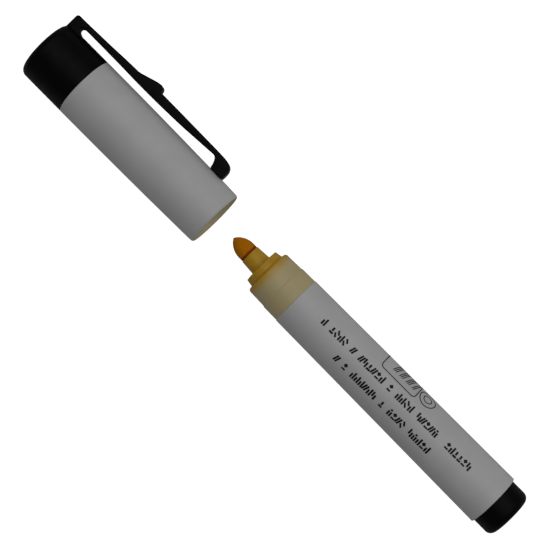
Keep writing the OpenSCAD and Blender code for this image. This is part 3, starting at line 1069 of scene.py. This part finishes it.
def sign_lines(name):
    """The sign's lines as mesh edges, in the plane: x along the barrel and y round it."""
    lamp = (35, 7)
    top, bottom, front, rear = 4, 12, 49.3, 37.9
    loops = [
        rounded([(front, top, 1), (front, bottom, 1), (rear, bottom, 1), (rear, top, 1)]),
        arc(lamp, 2.4, 0, 330, 40),
        arc(lamp, 1.2, 0, 330, 24),
    ]
    bars = [
        [Vector((x - 0.15 * k, 5.8 + 0.5 * k)) for k in range(9)]
        for x in (46.4, 45.9, 45.4, 44.2, 43.7, 43.2, 42, 41.5, 41, 39.9, 39.4)]
    longest_step = 0.4
    points, edges = [], []
    for loop in loops:
        first = len(points)
        for here, there in zip(loop, loop[1:] + loop[:1]):
            pieces = max(1, round((there - here).length / longest_step))
            points += [here.lerp(there, k / pieces) for k in range(pieces)]
        edges += [(i, i + 1) for i in range(first, len(points) - 1)] + [(len(points) - 1, first)]
    for line in bars:
        first = len(points)
        points += line
        edges += [(first + i, first + i + 1) for i in range(len(line) - 1)]
    mesh = bpy.data.meshes.new(name)
    mesh.from_pydata([(p.x * MM, p.y * MM, 0) for p in points], edges, [])
    return mesh


def printed_sign(name, material, size):
    """A generic sign of a banknote beside two rings for a lamp, in flat ink lines on the clip's side."""
    values = {"Line": size.print_line, **barrel_values(size, material)}
    tree, given = new_tree("lines_of_ink", values, start=True)
    curve = node(tree, "GeometryNodeMeshToCurve", {0: given["Start"]})
    level = node(tree, "GeometryNodeSetCurveNormal", {0: curve}, mode="Z_UP")
    section = node(tree, "GeometryNodeCurvePrimitiveQuadrilateral", {0: given["Line"], 1: given["Film"]})
    drawn = node(tree, "GeometryNodeCurveToMesh",
                 {"Curve": level, "Profile Curve": section, "Fill Caps": True})
    flat_ink = wrapped_print(tree, given, drawn)
    return grown(name, tree, given, flat_ink, values, start=sign_lines(name + "_lines"))


# ------------------------------------------------------------------ stage


class STAGE_OT_stage(bpy.types.Operator):
    """Pale floor, soft light and camera"""

    bl_idname = "stage.build"
    bl_label = "Stage"
    bl_options = {"REGISTER", "UNDO"}

    def execute(self, context):
        settings = context.scene.pen_stage
        make_floor()
        make_light(settings)
        make_camera(settings)
        context.scene.view_settings.view_transform = "Standard"
        return {"FINISHED"}


def make_floor():
    """A wide pale floor under the pen. To the camera it is nearly white, with only a breath of shadow."""
    half = 4.0
    mesh = bpy.data.meshes.new("floor")
    level = CAD_BOX[0].z - 0.02 * MM
    corners = [(x * half, y * half, level) for x, y in ((-1, -1), (1, -1), (1, 1), (-1, 1))]
    mesh.from_pydata(corners, [], [(0, 1, 2, 3)])
    material = bpy.data.materials.new("pale_paper")
    material.use_nodes = True
    tree = material.node_tree
    tree.nodes.clear()
    paper = node(tree, "ShaderNodeBsdfDiffuse", {"Color": (0.8, 0.8, 0.8)})
    glow = node(tree, "ShaderNodeEmission", {"Strength": 0.96})
    bright = node(tree, "ShaderNodeAddShader", {0: paper, 1: glow})
    seen = node(tree, "ShaderNodeLightPath").outputs["Is Camera Ray"]
    mix = node(tree, "ShaderNodeMixShader", {0: seen, 1: paper, 2: bright})
    node(tree, "ShaderNodeOutputMaterial", {"Surface": mix})
    mesh.materials.append(material)
    floor = bpy.data.objects.new("floor", mesh)
    bpy.context.scene.collection.objects.link(floor)


def make_light(settings):
    """One large softbox over the clip's side, and even light from all around."""
    centre = (CAD_BOX[0] + CAD_BOX[1]) / 2
    lean = math.radians(21)
    away = 1.5
    towards = Vector((0, -math.sin(lean), math.cos(lean)))
    data = bpy.data.lights.new("softbox", "AREA")
    data.shape = "SQUARE"
    data.size = 1.8
    data.energy = settings.key_power
    data.color = (1.0, 0.99, 0.97)
    box = bpy.data.objects.new("softbox", data)
    box.location = centre + towards * away
    box.rotation_mode = "QUATERNION"
    box.rotation_quaternion = towards.to_track_quat("Z", "Y")
    box.visible_camera = False
    bpy.context.scene.collection.objects.link(box)
    world = bpy.data.worlds.new("studio")
    bpy.context.scene.world = world
    world.use_nodes = True
    tree = world.node_tree
    tree.nodes.clear()
    room = node(tree, "ShaderNodeBackground", {"Color": (0.97, 0.99, 1.04), "Strength": settings.ambient})
    white = node(tree, "ShaderNodeBackground", {"Color": (1, 1, 1), "Strength": 1.0})
    seen = node(tree, "ShaderNodeLightPath").outputs["Is Camera Ray"]
    mix = node(tree, "ShaderNodeMixShader", {0: seen, 1: room, 2: white})
    node(tree, "ShaderNodeOutputWorld", {"Surface": mix})


def make_camera(settings):
    """A long lens above the pen, leaning a little towards its tail, turned so that the pen lies aslant."""
    look = Vector((math.sin(settings.tilt), 0, -math.cos(settings.tilt)))
    along = Vector((math.cos(settings.tilt), 0, math.sin(settings.tilt)))
    across = Vector((0, -1, 0))
    right = -math.cos(settings.roll) * along + math.sin(settings.roll) * across
    up = math.sin(settings.roll) * along + math.cos(settings.roll) * across
    aim = Vector((83.73 * MM, -0.83 * MM, 0))
    data = bpy.data.cameras.new("camera")
    data.lens = settings.lens
    data.sensor_width = 36
    data.clip_start = 0.01
    data.clip_end = 50
    camera = bpy.data.objects.new("camera", data)
    matrix = camera.matrix_world.copy()
    for row in range(3):
        matrix[row][0] = right[row]
        matrix[row][1] = up[row]
        matrix[row][2] = -look[row]
        matrix[row][3] = (aim - look * settings.distance)[row]
    camera.matrix_world = matrix
    bpy.context.scene.collection.objects.link(camera)
    bpy.context.scene.camera = camera


# ------------------------------------------------------------------ add-on


class VIEW3D_PT_detector_pen(bpy.types.Panel):
    """Lists the pen's pieces and settings"""

    bl_label = "Detector Pen"
    bl_space_type = "VIEW_3D"
    bl_region_type = "UI"
    bl_category = "Detector Pen"

    def draw(self, context):
        for operator in STEPS:
            self.layout.operator(operator.bl_idname)
        for group in (context.scene.pen_sizes, context.scene.pen_colours, context.scene.pen_stage):
            box = self.layout.box()
            for name in group.__annotations__:
                box.prop(group, name)


STEPS = (
    STAGE_OT_stage,
    PEN_OT_barrel, PEN_OT_front_section, PEN_OT_nib_holder, PEN_OT_nib, PEN_OT_tail_plug, PEN_OT_reservoir,
    PEN_OT_print,
    CAP_OT_sleeve, CAP_OT_inner_cap, CAP_OT_power,
    LIGHT_OT_housing, LIGHT_OT_lamp,
    CLIP_OT_clip,
)
GROUPS = (("pen_sizes", PenSizes), ("pen_colours", PenColours), ("pen_stage", StageSettings))


def register():
    for name, group in GROUPS:
        bpy.utils.register_class(group)
        setattr(bpy.types.Scene, name, bpy.props.PointerProperty(type=group))
    for item in (*STEPS, VIEW3D_PT_detector_pen):
        bpy.utils.register_class(item)


def unregister():
    for item in (VIEW3D_PT_detector_pen, *reversed(STEPS)):
        bpy.utils.unregister_class(item)
    for name, group in reversed(GROUPS):
        delattr(bpy.types.Scene, name)
        bpy.utils.unregister_class(group)


def main():
    """Builds the whole pen."""
    register()
    for step in STEPS:
        family, action = step.bl_idname.split(".")
        getattr(getattr(bpy.ops, family), action)()


if __name__ == "__main__":
    main()
